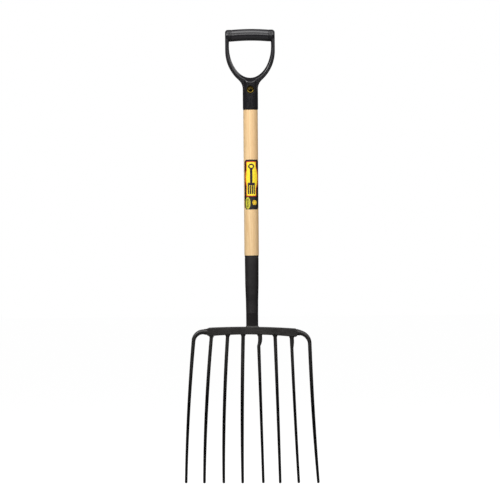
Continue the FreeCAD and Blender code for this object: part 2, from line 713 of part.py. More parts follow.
def make_outer_tine(name):
    """A tine that leaves the bar's end sideways, bends down and then follows the dish."""
    body = new_body(name)
    side = 1 if size(f"{name}_root_x") < 0 else -1
    radius = f"dims.{name}_bend_radius"
    sweep = f"(90 - abs(dims.{name}_splay) - dims.{name}_bend_fall)"
    bend = new_sketch(body, "bend_line", "XZ_Plane")
    start = math.pi - math.radians(value_of(sweep)) if side > 0 else 0
    add_arc_spine(bend, side * value_of(radius), radius, start, sweep, 2 if side > 0 else 1)
    along = f"{side} * {radius} * (1 - cos({sweep} * 1 deg))"
    rise = f"{radius} * sin({sweep} * 1 deg)"
    knee = new_sketch(body, "knee_section", "XY_Plane")
    add_circle(knee, f"dims.{name}_top")

    def bar_end_circle(sketch_name, diameter):
        sketch = new_sketch(
            body, sketch_name, "XY_Plane", (along, "0", rise), ("0", "1", "0"), f"{side} * {sweep}"
        )
        add_circle(sketch, diameter)
        return sketch

    shank_section = bar_end_circle("shank_section", "dims.outer_shank_diameter")
    document.recompute()
    add_pipe(body, "elbow", bend, [knee, shank_section])
    shank = bar_end_circle("shank_circle", "dims.outer_shank_diameter")
    pad(body, "shank", shank, f"dims.{name}_shank")
    spigot = bar_end_circle("spigot_circle", "dims.spigot_diameter")
    pad(body, "spigot", spigot, f"dims.{name}_shank + dims.outer_spigot_length")
    add_rod(body, name)
    place_tine(body, name)
    return body


def make_crossbar(tines):
    """The bar with a socket cut for each tine's spigot and root."""
    blank = make_bar_blank()
    document.recompute()
    all_tines = document.addObject("Part::Compound", "all_tines")
    all_tines.Links = tines
    crossbar = document.addObject("Part::Cut", "crossbar")
    crossbar.Label = "crossbar"
    crossbar.Base = blank
    crossbar.Tool = all_tines
    document.recompute()
    return crossbar


def trimmed(name, base, *tools):
    """A piece with the others' solids taken away, so that it only touches them."""
    result = base
    for index, tool in enumerate(tools):
        cut = document.addObject("Part::Cut", f"{name}_{index}")
        cut.Base = result
        cut.Tool = tool
        result = cut
    result.Label = name
    document.recompute()
    return result


def add_collar(tine, inner_diameter, base, rotation, sunk, kind):
    """A cone of weld metal round a tine, widest where it meets the bar."""
    cone = document.addObject("Part::Cone", f"{tine.Label}_collar")
    cone.setExpression("Radius1", f"dims.{kind}_weld_diameter / 2")
    cone.setExpression("Radius2", f"({inner_diameter}) / 2 + dims.root_weld_lip")
    cone.setExpression("Height", f"dims.{kind}_weld_height + {sunk}")
    cone.Placement = tine.Placement * FreeCAD.Placement(base, rotation)
    return cone


def make_tine_welds(tines, crossbar):
    """One weld collar round every tine where it meets the bar."""
    welds = []
    for tine in tines:
        name = tine.Label
        if name in OUTER_BENDS:
            base = outer_shoulder(name)
            side = 1 if size(f"{name}_root_x") < 0 else -1
            rotation = FreeCAD.Rotation(DEPTH, side * bend_sweep(name) + 180)
            across, sink = "dims.outer_shank_diameter", "dims.outer_weld_sink"
            kind = "outer"
        else:
            rotation = FreeCAD.Rotation(Vector(1, 0, 0), 180)
            base = Vector(0, 0, size("inner_weld_sink"))
            stepped = size(f"{name}_step_down") > 0
            across = "dims.stub_diameter" if stepped else f"dims.{name}_top"
            sink = "dims.inner_weld_sink"
            kind = "root"
        collar = add_collar(tine, across, base, rotation, sink, kind)
        welds.append(trimmed(f"{name}_weld", collar, tine, crossbar))
    group = document.addObject("Part::Compound", "tine_welds")
    group.Label = "tine_welds"
    group.Links = welds
    document.recompute()
    return group


def bend_sweep(name):
    """Degrees that an outer tine turns between the bar's end and its straight part."""
    return 90 - abs(size(f"{name}_splay")) - size(f"{name}_bend_fall")


def outer_shoulder(name):
    """Where an outer tine's shank meets the bar's end, in the tine's own frame."""
    side = 1 if size(f"{name}_root_x") < 0 else -1
    radius = size(f"{name}_bend_radius")
    sweep = math.radians(bend_sweep(name))
    bend_end = Vector(side * radius * (1 - math.cos(sweep)), 0, radius * math.sin(sweep))
    direction = Vector(side * math.sin(sweep), 0, math.cos(sweep))
    return bend_end + direction * size(f"{name}_shank")


def make_ferrule_weld(ferrule, crossbar):
    """A fillet weld run round the ferrule's flattened foot, on top of the bar."""
    body = new_body("foot_weld_blank")
    half_wide = "dims.ferrule_foot_diameter / 2"
    half_deep = "dims.ferrule_foot_depth / 2"
    sketches = []
    for word, level, leg in (
        ("base", "-dims.foot_weld_sink", "dims.foot_weld_leg"),
        ("top", "dims.foot_weld_leg", "dims.foot_weld_lip"),
    ):
        shift = ("0", "0", f"{level} - dims.ferrule_length")
        ring = new_sketch(body, f"weld_{word}", "XY_Plane", shift)
        add_ellipse(ring, f"{half_wide} + {leg}", f"{half_deep} + {leg}")
        sketches.append(ring)
    loft = body.newObject("PartDesign::AdditiveLoft", "weld_skirt")
    loft.Profile = sketches[0]
    loft.Sections = [(sketches[1], [""])]
    document.recompute()
    return trimmed("ferrule_weld", body, ferrule, crossbar)


# ---------------------------------------------------------------- grip


def make_grip_yoke():
    """The moulded socket, two arms, two knuckles and the core bar between them."""
    body = new_body("grip_yoke")
    plate = new_sketch(body, "arm_outline", "XZ_Plane")
    socket = "dims.socket_diameter / 2"
    root = f"sqrt(({socket}) ^ 2 - (dims.arm_depth / 2) ^ 2)"
    wide = "dims.arm_half_width"
    flare_x = "dims.neck_flare_x"
    add_outline(
        plate,
        [
            (f"-{root}", "dims.neck_rise - dims.plate_overlap"),
            (root, "dims.neck_rise - dims.plate_overlap"),
            (socket, "dims.neck_rise", "-dims.neck_radius"),
            (flare_x, "dims.neck_flare_rise", "dims.arm_radius"),
            (wide, "dims.arm_straight_rise"),
            (wide, "dims.bar_axis_rise"),
            (f"-{wide}", "dims.bar_axis_rise"),
            (f"-{wide}", "dims.arm_straight_rise", "dims.arm_radius"),
            (f"-{flare_x}", "dims.neck_flare_rise", "-dims.neck_radius"),
            (f"-{socket}", "dims.neck_rise"),
        ],
    )
    arms = pad(body, "arm_plate", plate, "dims.arm_depth", both_ways=True)

    def outer_edge(edge):
        on_face = abs(abs(edge.CenterOfMass.y) - size("arm_depth") / 2) < 1e-6
        start, end = (vertex.Point.z for vertex in edge.Vertexes)
        return on_face and abs(start - end) > 1e-3

    round_edges(body, "arm_edges", arms, outer_edge, "dims.arm_edge_round")
    socket_profile = new_sketch(body, "socket_profile", "XZ_Plane")
    throat = "dims.opening_rise - dims.opening_half_height"
    add_outline(
        socket_profile,
        [
            ("0", "0"),
            (f"{socket} - dims.socket_mouth_round", "0", "dims.socket_mouth_round"),
            (socket, "dims.socket_mouth_round"),
            (socket, throat),
            ("0", throat),
        ],
    )
    revolve(body, "socket", socket_profile, "Z_Axis")
    opening = new_sketch(body, "opening_oval", "XZ_Plane")
    add_ellipse(opening, "dims.opening_half_width", "dims.opening_half_height", y="dims.opening_rise")
    pocket(body, "opening", opening, "2 * dims.socket_diameter", both_ways=True)
    add_throat_slopes(body)
    for side, word in ((-1, "left"), (1, "right")):
        add_knuckle(body, word, side)
    core = new_sketch(body, "core_circle", "YZ_Plane")
    add_circle(core, "dims.core_diameter", y="dims.bar_axis_rise - dims.hand_grip_bow")
    pad(body, "core_bar", core, "dims.core_length", both_ways=True)
    bore = new_sketch(body, "bore_profile", "XZ_Plane")
    add_outline(
        bore,
        [
            ("0", "0"),
            ("dims.head_mouth_diameter / 2 + dims.clearance", "0"),
            ("dims.head_tenon_diameter / 2 + dims.clearance", "dims.head_tenon_length"),
            (
                "dims.head_tenon_diameter / 2 - dims.socket_relief",
                "dims.head_tenon_length + dims.socket_relief",
            ),
            ("0", "dims.head_tenon_length + dims.socket_relief"),
        ],
    )
    revolve(body, "tapered_bore", bore, "Z_Axis", "PartDesign::Groove")
    recess = new_sketch(body, "recess_circle", "XZ_Plane", ("0", "0", "dims.recess_floor"))
    add_circle(recess, "dims.recess_diameter", y="dims.screw_rise")
    pocket(body, "screw_recess", recess, "dims.socket_diameter", flip=True)
    hole = new_sketch(body, "screw_hole_circle", "XZ_Plane", ("0", "0", "dims.socket_diameter"))
    add_circle(hole, "dims.screw_diameter + 2 * dims.clearance", y="dims.screw_rise")
    pocket(body, "screw_hole", hole, "dims.socket_diameter")
    add_clip_slots(body)
    add_arm_cells(body)
    place(body, z="dims.shaft_exposed")
    return body


def add_throat_slopes(body):
    """The opening's rim slopes away to the front and back, most of all down to the socket."""
    for word, side in (("front", 1), ("back", -1)):
        land = f"{side} * dims.throat_land / 2"
        inner = new_sketch(body, f"{word}_slope_foot", "XZ_Plane", ("0", "0", land))
        add_ellipse(inner, "dims.opening_half_width", "dims.opening_half_height", y="dims.opening_rise")
        reach = f"{side} * (dims.socket_diameter / 2 + dims.overshoot)"
        outer = new_sketch(body, f"{word}_slope_mouth", "XZ_Plane", ("0", "0", reach))
        add_ellipse(
            outer,
            "dims.opening_half_width + dims.throat_spread",
            "dims.opening_half_height + dims.throat_fall / 2",
            y="dims.opening_rise - dims.throat_fall / 2",
        )
        slope = body.newObject("PartDesign::SubtractiveLoft", f"{word}_slope")
        slope.Profile = inner
        slope.Sections = [(outer, [""])]
        document.recompute()

    def crest_edge(edge):
        outermost = abs(edge.CenterOfMass.y) > size("arm_depth") / 2 - 1e-3
        return outermost and isinstance(edge.Curve, Part.BSplineCurve)

    round_edges(body, "crest", slope, crest_edge, "dims.crest_round")


def add_rectangle(sketch, x, y, width, height):
    """A rectangle about a centre, all by formulas."""
    add_outline(
        sketch,
        [
            (f"{x} - {width} / 2", f"{y} - {height} / 2"),
            (f"{x} + {width} / 2", f"{y} - {height} / 2"),
            (f"{x} + {width} / 2", f"{y} + {height} / 2"),
            (f"{x} - {width} / 2", f"{y} + {height} / 2"),
        ],
    )


def add_clip_slots(body):
    """Two narrow slots in the front of each knuckle, where the hand grip's clips show."""
    slots = new_sketch(body, "clip_slots", "XZ_Plane", ("0", "0", "dims.hand_grip_diameter / 2"))
    for side in (-1, 1):
        for offset in ("dims.upper_slot_rise", "-dims.lower_slot_fall"):
            add_rectangle(
                slots,
                f"{side} * dims.slot_x",
                f"dims.bar_axis_rise - dims.hand_grip_bow + {offset}",
                "dims.slot_width",
                "dims.slot_height",
            )
    pocket(body, "clip_slot_pockets", slots, "dims.slot_depth")


def add_arm_cells(body):
    """A ladder of shallow cells along the outer half of both arms, front and back."""
    count = int(size("cell_count"))
    track = "(dims.arm_radius - dims.cell_inset)"
    for word, shift, flip in (
        ("front", "dims.arm_depth / 2", False),
        ("back", "-dims.arm_depth / 2", True),
    ):
        cells = new_sketch(body, f"{word}_cells", "XZ_Plane", ("0", "0", shift))
        for side in (-1, 1):
            for index in range(count):
                low = f"(dims.cell_start + {index} * dims.cell_pitch)"
                corners = []
                for angle, reach in (
                    (low, -1),
                    (low, 1),
                    (f"({low} + dims.cell_span)", 1),
                    (f"({low} + dims.cell_span)", -1),
                ):
                    radius = f"({track} + {reach} * dims.cell_width / 2)"
                    corners.append(
                        (
                            f"{side} * (dims.arm_half_width - dims.arm_radius"
                            f" + {radius} * cos({angle} * 1 deg))",
                            f"dims.arm_straight_rise + {radius} * sin({angle} * 1 deg)",
                        )
                    )
                add_outline(cells, corners)
        pocket(body, f"{word}_cell_pockets", cells, "dims.cell_depth", flip=flip)


def add_knuckle(body, word, side):
    """The round corner of the grip, where an arm meets the hand bar."""
    radius = "dims.hand_grip_diameter / 2"
    inner = f"{side} * dims.hand_grip_length / 2"
    outer = f"{side} * dims.arm_half_width"
    profile = new_sketch(body, f"{word}_knuckle_profile", "XZ_Plane")
    rise = "dims.bar_axis_rise - dims.hand_grip_bow"
    bend = f"{-side} * dims.knuckle_round"
    add_outline(
        profile,
        [
            (inner, rise),
            (inner, f"{rise} + {radius} - dims.seam_bevel"),
            (f"{inner} + {side} * dims.seam_bevel", f"{rise} + {radius}"),
            (f"{outer} - {side} * dims.knuckle_round", f"{rise} + {radius}", bend),
            (outer, f"{rise} + {radius} - dims.knuckle_round"),
            (outer, rise),
        ],
    )
    knuckle = body.newObject("PartDesign::Revolution", f"{word}_knuckle")
    knuckle.Profile = profile
    knuckle.ReferenceAxis = (profile, ["Edge6"])
    document.recompute()


def make_hand_grip_shell(name, upper):
    """Half of the bowed tube that the hand holds, split along its length."""
    body = new_body(f"{name}_blank")
    bow_radius = "(dims.hand_grip_length ^ 2 / (8 * dims.hand_grip_bow))"
    section = new_sketch(body, "shell_section", "YZ_Plane", ("0", bow_radius, "0"))
    sign = 1 if upper else -1
    gap = "dims.clearance / 2" if upper else "-dims.clearance / 2"
    outer = "dims.hand_grip_diameter / 2"
    inner = "(dims.hand_grip_diameter / 2 - dims.hand_grip_wall)"
    add_outline(
        section,
        [
            (outer, gap, f"{sign} * {outer} * {ALMOST_HALF}"),
            (f"-{outer}", gap),
            (f"-{inner}", gap, f"{-sign} * {inner} * {ALMOST_HALF}"),
            (inner, gap),
        ],
    )
    half_swept = "(dims.hand_grip_length / 2 + dims.hand_grip_overrun)"
    sweep = f"2 * asin({half_swept} / {bow_radius}) / 1 deg"
    revolve(body, "bowed_shell", section, "Y_Axis", angle=sweep)
    if upper:
        for side, word in ((-1, "front"), (1, "back")):
            flute = new_sketch(body, f"{word}_flute_circle", "YZ_Plane", ("0", bow_radius, "0"))
            across = f"{side} * {outer} * cos(dims.flute_angle * 1 deg)"
            add_circle(flute, "dims.flute_width", across, f"{outer} * sin(dims.flute_angle * 1 deg)")
            revolve(body, f"{word}_flute", flute, "Y_Axis", "PartDesign::Groove", sweep)
    place(body, z=f"dims.shaft_exposed + dims.bar_axis_rise - {bow_radius}")
    between = document.addObject("Part::Box", f"{name}_span")
    between.setExpression("Length", "dims.hand_grip_length")
    between.setExpression("Width", "2 * dims.hand_grip_diameter")
    between.setExpression("Height", "2 * dims.hand_grip_diameter")
    centre_rise = "dims.shaft_exposed + dims.bar_axis_rise"
    place(
        between,
        "-dims.hand_grip_length / 2",
        "-dims.hand_grip_diameter",
        f"{centre_rise} - dims.hand_grip_diameter",
    )
    shell = document.addObject("Part::Common", name)
    shell.Label = name
    shell.Base = body
    shell.Tool = between
    document.recompute()
    return shell


def make_grip_washer():
    """A dished washer that sits in the socket's recess."""
    body = new_body("grip_washer")
    profile = new_sketch(body, "washer_profile", "XY_Plane")
    face = "-dims.recess_floor"
    hole = "dims.screw_diameter / 2 + dims.clearance"
    rim = "dims.washer_diameter / 2"
    flat = f"{face} - dims.washer_thickness"
    back = f"{face} - dims.washer_thickness / 2"
    add_outline(
        profile,
        [
            (hole, back),
            (f"{rim} - dims.washer_back_inset", back),
            (rim, face),
            (rim, f"{face} - dims.washer_lip"),
            (f"{rim} - dims.washer_crest_inset", f"{flat} - dims.washer_crest"),
            (f"{rim} - dims.washer_well_inset", f"{flat} - dims.washer_well"),
            (hole, f"{flat} - dims.washer_well"),
        ],
    )
    revolve(body, "pressed_washer", profile, "Y_Axis")
    place(body, z="dims.shaft_exposed + dims.screw_rise")
    return body


def make_grip_screw():
    """A pan-head wood screw with a cross recess."""
    body = new_body("grip_screw")
    profile = new_sketch(body, "screw_profile", "XY_Plane")
    seat = "-dims.recess_floor - dims.washer_thickness - dims.washer_well"
    head = "dims.screw_head_diameter / 2"
    shank = "dims.screw_diameter / 2 - dims.snug"
    add_outline(
        profile,
        [
            ("0", f"{seat} + dims.screw_length"),
            (shank, f"{seat} + dims.screw_length - dims.screw_point"),
            (shank, seat),
            (head, seat),
            (head, f"{seat} - dims.screw_head_rim", "dims.screw_head_radius"),
            ("dims.screw_head_flat", f"{seat} - dims.screw_head_height"),
            ("0", f"{seat} - dims.screw_head_height"),
        ],
    )
    revolve(body, "turned_screw", profile, "Y_Axis")
    front = "dims.socket_diameter / 2"
    depth = f"{front} - dims.recess_floor - dims.washer_thickness"
    for word, wide, high in (
        ("upright", "dims.cross_width", "dims.cross_length"),
        ("level", "dims.cross_length", "dims.cross_width"),
    ):
        slot = new_sketch(body, f"{word}_slot", "XZ_Plane", ("0", "0", front))
        add_rectangle(slot, "0", "0", wide, high)
        pocket(body, f"{word}_recess", slot, depth)
    turn = FreeCAD.Rotation(DEPTH, size("cross_turn"))
    place(body, z="dims.shaft_exposed + dims.screw_rise", rotation=turn)
    return body


# ---------------------------------------------------------------- assembly


def check(parts):
    """Stop on any failed object or any piece that isn't a valid solid."""
    broken = [
        item.Name
        for item in document.Objects
        if any(word in ("Invalid", "Error") for word in item.State)
    ]
    if broken:
        raise RuntimeError(f"failed objects: {broken}")
    for part in parts:
        shape = part.Shape
        if shape.isNull() or not shape.isValid() or not shape.Solids:
            raise RuntimeError(f"{part.Label} is not a valid solid")


def main():
    fill_sheet()
    tines = []
    for name, *_ in TINES:
        make = make_outer_tine if name in OUTER_BENDS else make_inner_tine
        tines.append(make(name))
    crossbar = make_crossbar(tines)
    ferrule = make_ferrule(crossbar)
    parts = [
        make_handle_shaft(),
        make_label(),
        ferrule,
        make_ferrule_rivet(),
        make_ferrule_weld(ferrule, crossbar),
        crossbar,
        make_tine_welds(tines, crossbar),
        make_grip_yoke(),
        make_hand_grip_shell("grip_upper_shell", True),
        make_hand_grip_shell("grip_lower_shell", False),
        make_grip_washer(),
        make_grip_screw(),
    ]
    parts += tines
    document.recompute()
    check(parts)
    os.makedirs("parts", exist_ok=True)
    for part in parts:
        part.Shape.exportStep(f"parts/{part.Label}.step")


main()
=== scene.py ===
import math

import bpy
from mathutils import Matrix, Vector


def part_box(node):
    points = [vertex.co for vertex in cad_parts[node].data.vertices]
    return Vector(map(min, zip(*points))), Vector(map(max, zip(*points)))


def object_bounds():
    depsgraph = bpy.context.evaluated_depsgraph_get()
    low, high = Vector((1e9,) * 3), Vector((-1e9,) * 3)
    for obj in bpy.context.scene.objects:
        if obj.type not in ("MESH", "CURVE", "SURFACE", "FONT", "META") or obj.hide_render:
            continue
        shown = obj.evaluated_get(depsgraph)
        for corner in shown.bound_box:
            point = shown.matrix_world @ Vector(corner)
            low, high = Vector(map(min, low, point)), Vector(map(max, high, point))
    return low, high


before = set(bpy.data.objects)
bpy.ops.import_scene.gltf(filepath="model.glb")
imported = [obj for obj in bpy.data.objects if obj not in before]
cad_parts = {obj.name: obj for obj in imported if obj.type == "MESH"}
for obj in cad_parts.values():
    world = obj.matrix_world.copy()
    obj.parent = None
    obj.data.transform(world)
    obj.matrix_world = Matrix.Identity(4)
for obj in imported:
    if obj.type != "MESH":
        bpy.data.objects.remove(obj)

# A long-handled digging fork, standing on a pale studio floor and seen square from its front.
# Every shape is the CAD model's own. This script gives each piece its surface and sets up the
# floor, the backdrop, the lights and the camera.
# Units are metres and degrees; +Z runs up the handle and the front faces -Y.

MM = 0.001
cad_low, cad_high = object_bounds()


def srgb(red, green, blue):
    """A colour given as 0 to 255 screen values, in the linear values that nodes use."""
    linear = []
    for value in (red, green, blue):
        share = value / 255
        linear.append(share / 12.92 if share <= 0.04045 else ((share + 0.055) / 1.055) ** 2.4)
    return (*linear, 1.0)


WHITE = srgb(255, 255, 255)


# ---------------------------------------------------------------- node helpers


class Surface:
    """One material under construction. Sockets and plain values can both be fed in."""

    def __init__(self, name):
        self.material = bpy.data.materials.new(name)
        self.material.use_nodes = True
        self.nodes = self.material.node_tree.nodes
        self.links = self.material.node_tree.links
        self.shader = self.nodes["Principled BSDF"]
        self.place = self.add("ShaderNodeTexCoord").outputs["Object"]

    def add(self, kind, **settings):
        node = self.nodes.new(kind)
        for name, value in settings.items():
            setattr(node, name, value)
        return node

    def feed(self, socket, value):
        if isinstance(value, bpy.types.NodeSocket):
            self.links.new(value, socket)
        else:
            socket.default_value = value

    def finish(self, **values):
        """Feed the surface's final values, named as words, such as coat_weight."""
        for name, value in values.items():
            title = name.replace("_", " ").title().replace("Ior", "IOR")
            self.feed(self.shader.inputs[title], value)
        return self.material

    def calc(self, operation, first, second=0.0):
        node = self.add("ShaderNodeMath", operation=operation)
        self.feed(node.inputs[0], first)
        self.feed(node.inputs[1], second)
        return node.outputs[0]

    def plus(self, first, second):
        return self.calc("ADD", first, second)

    def minus(self, first, second):
        return self.calc("SUBTRACT", first, second)

    def times(self, first, second):
        return self.calc("MULTIPLY", first, second)

    def squares(self, first, second):
        """The sum of the squares of two values."""
        return self.plus(self.times(first, first), self.times(second, second))

    def noise(self, scale, detail=3.0, roughness=0.5, distortion=0.0, source=None):
        """Soft noise from 0 to 1; scale is its repeats a metre."""
        node = self.add("ShaderNodeTexNoise")
        self.feed(node.inputs["Vector"], source or self.place)
        node.inputs["Scale"].default_value = scale
        node.inputs["Detail"].default_value = detail
        node.inputs["Roughness"].default_value = roughness
        node.inputs["Distortion"].default_value = distortion
        return node.outputs["Fac"]

    def long_noise(self, across, along, detail=2.0, roughness=0.5):
        """Noise with one count of repeats a metre across the fork and another along it."""
        stretched = self.add("ShaderNodeVectorMath", operation="MULTIPLY")
        self.feed(stretched.inputs[0], self.place)
        stretched.inputs[1].default_value = (across, across, along)
        return self.noise(1.0, detail, roughness, source=stretched.outputs[0])

    def cells(self, scale):
        """The distance to the nearest of many scattered points; scale is points a metre."""
        node = self.add("ShaderNodeTexVoronoi", feature="F1")
        self.feed(node.inputs["Vector"], self.place)
        node.inputs["Scale"].default_value = scale
        return node.outputs["Distance"]

    def fade(self, value, start, end, low=0.0, high=1.0):
        """Maps value from start..end to low..high, held at both ends."""
        node = self.add("ShaderNodeMapRange", interpolation_type="SMOOTHSTEP")
        for socket, number in zip(node.inputs, (value, start, end, low, high)):
            self.feed(socket, number)
        return node.outputs["Result"]

    def spread(self, noise, low=0.0, high=1.0):
        """The middle of a noise's range, drawn out to run from low to high."""
        return self.fade(noise, 0.3, 0.7, low, high)

    def mix(self, share, first, second):
        """Colour first at share 0, second at share 1."""
        node = self.add("ShaderNodeMix", data_type="RGBA")
        first_colour, second_colour = node.inputs[6:8]
        self.feed(node.inputs["Factor"], share)
        self.feed(first_colour, first)
        self.feed(second_colour, second)
        return node.outputs[2]

    def tint(self, colour, other, mask, strength):
        """A colour, turned towards another by as much as strength where mask is 1."""
        return self.mix(self.times(mask, strength), colour, other)

    def split(self, vector):
        node = self.add("ShaderNodeSeparateXYZ")
        self.feed(node.inputs[0], vector)
        return node.outputs

    def relief(self, *layers):
        """Bumps laid over one another, each a (height from 0 to 1, depth in metres) pair."""
        normal = None
        for height, depth in layers:
            node = self.add("ShaderNodeBump")
            node.inputs["Distance"].default_value = depth
            self.feed(node.inputs["Height"], height)
            if normal is not None:
                self.feed(node.inputs["Normal"], normal)
            normal = node.outputs["Normal"]
        return normal

    def crevice(self, reach):
        """1 deep in a groove or corner and 0 in the open."""
        node = self.add("ShaderNodeAmbientOcclusion", samples=6)
        node.inputs["Distance"].default_value = reach
        return self.fade(node.outputs["AO"], start=0.85, end=0.35)

    def worn_edge(self, width):
        """1 on convex edges and 0 elsewhere, from how far a rounded normal leaves the true one."""
        bevel = self.add("ShaderNodeBevel", samples=4)
        bevel.inputs["Radius"].default_value = width
        true = self.add("ShaderNodeNewGeometry").outputs["Normal"]
        node = self.add("ShaderNodeVectorMath", operation="DOT_PRODUCT")
        self.feed(node.inputs[0], bevel.outputs["Normal"])
        self.feed(node.inputs[1], true)
        return self.fade(node.outputs["Value"], start=0.99, end=0.80)


# ---------------------------------------------------------------- wood


def growth_ring(wood):
    """0 to 1 through each year's growth, in rings about a pith that lies outside the stick."""
    low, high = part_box("handle_shaft")
    radius = (high.x - low.x) / 2
    pith_x = 1.6 * radius
    pith_y = 2.1 * radius
    lean = 0.010
    ring_width = 2.3 * MM
    wander_width = 5.5 * MM
    x, y, z = wood.split(wood.place)
    across = wood.plus(wood.minus(x, pith_x), wood.times(z, lean))
    away = wood.minus(y, pith_y)
    from_pith = wood.calc("SQRT", wood.squares(across, away))
    drift = wood.long_noise(across=9, along=2.2)
    wander = wood.times(wood.minus(drift, 0.5), wander_width)
    return wood.calc("FRACT", wood.calc("DIVIDE", wood.plus(from_pith, wander), ring_width))


def open_pores(wood, ring):
    """Short dashes, strong in the wood that starts each ring and faint in the rest."""
    faint = 0.12
    added_in_early_wood = 0.8
    early_wood = wood.fade(ring, start=0.45, end=0.05)
    dashes = wood.fade(wood.long_noise(across=2600, along=75), start=0.56, end=0.66)
    strength = wood.plus(wood.times(early_wood, added_in_early_wood), faint)
    return wood.times(dashes, strength)


def ash_wood():
    """Lacquered ash: straight growth rings, open pores in short dashes, a faint long streak."""
    cream = srgb(231, 200, 152)
    honey = srgb(222, 186, 136)
    fibre_tan = srgb(214, 176, 126)
    late_brown = srgb(205, 160, 107)
    pore_brown = srgb(172, 126, 80)
    fibre_depth = 0.05 * MM
    pore_depth = 0.05 * MM

    wood = Surface("lacquered_ash")
    ring = growth_ring(wood)
    ring_builds = wood.fade(ring, start=0.35, end=0.92)
    ring_ends = wood.fade(ring, start=1.0, end=0.94)
    late_wood = wood.times(ring_builds, ring_ends)
    pores = open_pores(wood, ring)
    fibre = wood.long_noise(across=900, along=9, detail=4.0, roughness=0.6)
    streak = wood.long_noise(across=70, along=1.6)
    handling = wood.noise(scale=45)

    colour = wood.mix(wood.fade(streak, start=0.35, end=0.7), cream, honey)
    fibres = wood.fade(fibre, start=0.35, end=0.7)
    colour = wood.tint(colour, fibre_tan, mask=fibres, strength=0.35)
    colour = wood.tint(colour, late_brown, mask=late_wood, strength=0.42)
    colour = wood.tint(colour, pore_brown, mask=pores, strength=0.55)
    return wood.finish(
        base_color=colour,
        roughness=wood.spread(handling, low=0.42, high=0.52),
        coat_weight=0.22,
        coat_roughness=wood.spread(handling, low=0.26, high=0.36),
        normal=wood.relief((fibre, fibre_depth), (wood.minus(1.0, pores), pore_depth)),
    )


# ---------------------------------------------------------------- moulded plastic


def moulded_plastic(name, deep, light, roughness, shine, grain_depth, wave_depth):
    """Black glass-filled plastic with a fine moulded grain, faint flow marks, rubbed edges and
    painted shade in its grooves and corners.
    """
    speck_grey = srgb(92, 92, 95)
    rubbed_grey = srgb(96, 95, 97)
    groove_shade_black = srgb(10, 10, 10)
    groove_shade_strength = 0.5
    groove_dullness = 0.3
    polished = roughness - 0.05
    scuffed = roughness + 0.06

    plastic = Surface(name)
    grain = plastic.cells(scale=2300)
    flow = plastic.noise(scale=26, detail=4.0, roughness=0.55, distortion=0.6)
    specks = plastic.fade(plastic.noise(scale=1500, detail=2.0), start=0.62, end=0.75)
    scuff = plastic.long_noise(across=420, along=60, detail=3.0, roughness=0.6)
    edge = plastic.worn_edge(width=1.2 * MM)
    # A mask of grooves and corners: it paints shade into the colour there and dulls the finish.
    groove_shade = plastic.times(plastic.crevice(reach=1.5 * MM), groove_shade_strength)

    colour = plastic.mix(plastic.spread(flow), deep, light)
    colour = plastic.tint(colour, speck_grey, mask=specks, strength=0.10)
    colour = plastic.tint(colour, rubbed_grey, mask=edge, strength=0.20)
    # Painted shade: the colour goes near-black in grooves and corners, where shade falls.
    colour = plastic.mix(groove_shade, colour, groove_shade_black)
    dullness = plastic.fade(scuff, start=0.35, end=0.65, low=polished, high=scuffed)
    return plastic.finish(
        base_color=colour,
        roughness=plastic.plus(dullness, plastic.times(groove_shade, groove_dullness)),
        specular_ior_level=shine,
        normal=plastic.relief((grain, grain_depth), (flow, wave_depth)),
    )


def yoke_plastic():
    return moulded_plastic(
        "yoke_plastic",
        deep=srgb(21, 20, 22),
        light=srgb(27, 26, 29),
        roughness=0.18,
        shine=0.42,
        grain_depth=0.004 * MM,
        wave_depth=0.08 * MM,
    )


def hand_grip_plastic():
    """The yoke's plastic, polished by hands."""
    return moulded_plastic(
        "hand_grip_plastic",
        deep=srgb(22, 21, 24),
        light=srgb(28, 27, 30),
        roughness=0.15,
        shine=0.78,
        grain_depth=0.002 * MM,
        wave_depth=0.05 * MM,
    )


# ---------------------------------------------------------------- painted steel


def enamel(name, deep, light, roughness, shine, ripple_depth, forge_depth):
    """Black enamel over steel: orange peel, the metal's own unevenness under it, rubbed edges."""
    dust_grey = srgb(105, 100, 95)
    chip_grey = srgb(118, 112, 106)
    glossy = roughness - 0.06
    dull = roughness + 0.08

    paint = Surface(name)
    peel = paint.noise(scale=900, detail=2.0)
    forging = paint.noise(scale=95, roughness=0.45)
    tone = paint.noise(scale=22, detail=4.0, roughness=0.6)
    dust = paint.fade(paint.noise(scale=1700, detail=2.0), start=0.66, end=0.78)
    patches = paint.fade(paint.noise(scale=420), start=0.52, end=0.62)
    chips = paint.times(paint.worn_edge(width=0.9 * MM), patches)

    colour = paint.mix(paint.spread(tone), deep, light)
    colour = paint.tint(colour, dust_grey, mask=dust, strength=0.25)
    colour = paint.tint(colour, chip_grey, mask=chips, strength=0.55)
    return paint.finish(
        base_color=colour,
        roughness=paint.spread(tone, low=glossy, high=dull),
        specular_ior_level=shine,
        normal=paint.relief((peel, ripple_depth), (forging, forge_depth)),
    )


def head_enamel():
    return enamel(
        "head_enamel",
        deep=srgb(25, 23, 21),
        light=srgb(34, 31, 29),
        roughness=0.50,
        shine=0.45,
        ripple_depth=0.03 * MM,
        forge_depth=0.35 * MM,
    )


def ferrule_enamel():
    return enamel(
        "ferrule_enamel",
        deep=srgb(23, 21, 22),
        light=srgb(30, 27, 27),
        roughness=0.50,
        shine=0.38,
        ripple_depth=0.02 * MM,
        forge_depth=0.15 * MM,
    )


